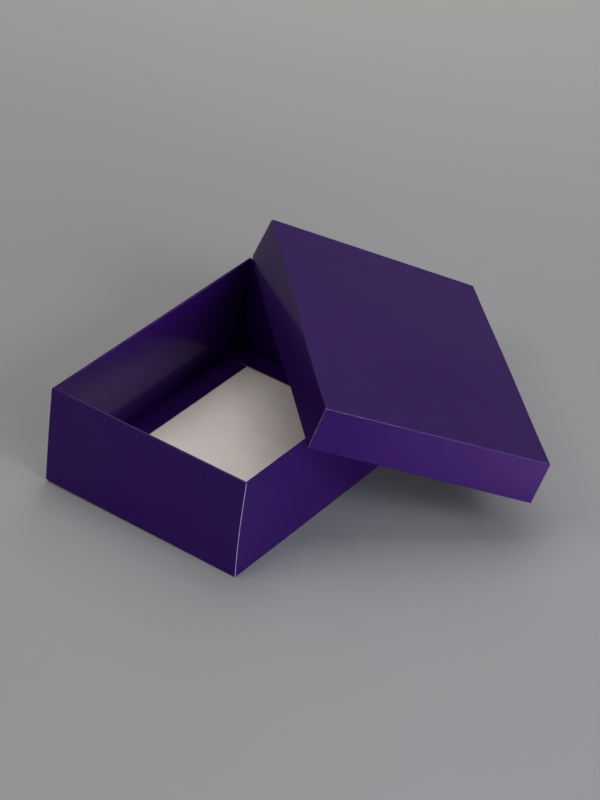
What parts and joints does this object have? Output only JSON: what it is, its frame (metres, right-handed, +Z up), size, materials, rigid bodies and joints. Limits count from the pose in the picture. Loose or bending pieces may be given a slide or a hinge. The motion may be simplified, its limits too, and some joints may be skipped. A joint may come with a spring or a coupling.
{
  "type": "gift box",
  "caption": "Rectangular lid-and-base gift box of folded paperboard with rolled double walls, shown open with its lid leaning across the base.",
  "frame": {"origin": "centre of the base tray's underside", "axes": "+Z up, out of the open base; X along the base's long side, Y along its short side"},
  "size_m": [0.3166, 0.2608, 0.0993],
  "materials": {
    "violet_board": "satin",
    "white_board": "matte"
  },
  "bodies": {
    "base": {"base_bottom_panel": "white_board", "base_front_outer_wall": "violet_board", "base_front_top_fold": "violet_board", "base_front_inner_wall": "violet_board", "base_front_foot_flap": "violet_board", "base_back_outer_wall": "violet_board", "base_back_top_fold": "violet_board", "base_back_inner_wall": "violet_board", "base_back_foot_flap": "violet_board", "base_right_outer_wall": "violet_board", "base_right_top_fold": "violet_board", "base_right_inner_wall": "violet_board", "base_right_foot_flap": "violet_board", "base_front_left_corner_flap": "violet_board", "base_front_right_corner_flap": "violet_board", "base_back_left_corner_flap": "violet_board", "base_back_right_corner_flap": "violet_board"},
    "base_left_wall": {"base_left_outer_wall": "violet_board", "base_left_top_fold": "violet_board"},
    "base_left_lining": {"base_left_inner_wall": "violet_board"},
    "base_left_foot": {"base_left_foot_flap": "violet_board"},
    "lid": {"lid_top_panel": "violet_board", "lid_left_outer_rim": "violet_board", "lid_left_rim_fold": "violet_board", "lid_left_inner_rim": "violet_board", "lid_left_foot_flap": "violet_board", "lid_right_outer_rim": "violet_board", "lid_right_rim_fold": "violet_board", "lid_right_inner_rim": "violet_board", "lid_right_foot_flap": "violet_board", "lid_back_outer_rim": "violet_board", "lid_back_rim_fold": "violet_board", "lid_back_inner_rim": "violet_board", "lid_back_foot_flap": "violet_board", "lid_front_outer_rim": "violet_board", "lid_front_rim_fold": "violet_board", "lid_front_inner_rim": "violet_board", "lid_front_foot_flap": "violet_board", "lid_left_front_corner_flap": "violet_board", "lid_left_back_corner_flap": "violet_board", "lid_right_front_corner_flap": "violet_board", "lid_right_back_corner_flap": "violet_board"}
  },
  "joints": [
    {"name": "lid_lift", "type": "slide", "parent": "base", "child": "lid", "axis": [0, 0, 1], "range_m": [0, 0.12]},
    {"name": "base_left_wall_unfold", "type": "hinge", "parent": "base", "child": "base_left_wall", "pos_m": [-0.105, 0, 0], "axis": [0, -1, 0], "range_deg": [0, 90]},
    {"name": "base_left_lining_unroll", "type": "hinge", "parent": "base_left_wall", "child": "base_left_lining", "pos_m": [-0.10385, 0, 0.07], "axis": [0, -1, 0], "range_deg": [0, 180]},
    {"name": "base_left_foot_flatten", "type": "hinge", "parent": "base_left_lining", "child": "base_left_foot", "pos_m": [-0.1033, 0, 0.0017], "axis": [0, 1, 0], "range_deg": [0, 90]}
  ],
  "couplings": [
    {"joint": "base_left_lining_unroll", "follows": "base_left_wall_unfold", "ratio": 2},
    {"joint": "base_left_foot_flatten", "follows": "base_left_wall_unfold", "ratio": 1}
  ]
}
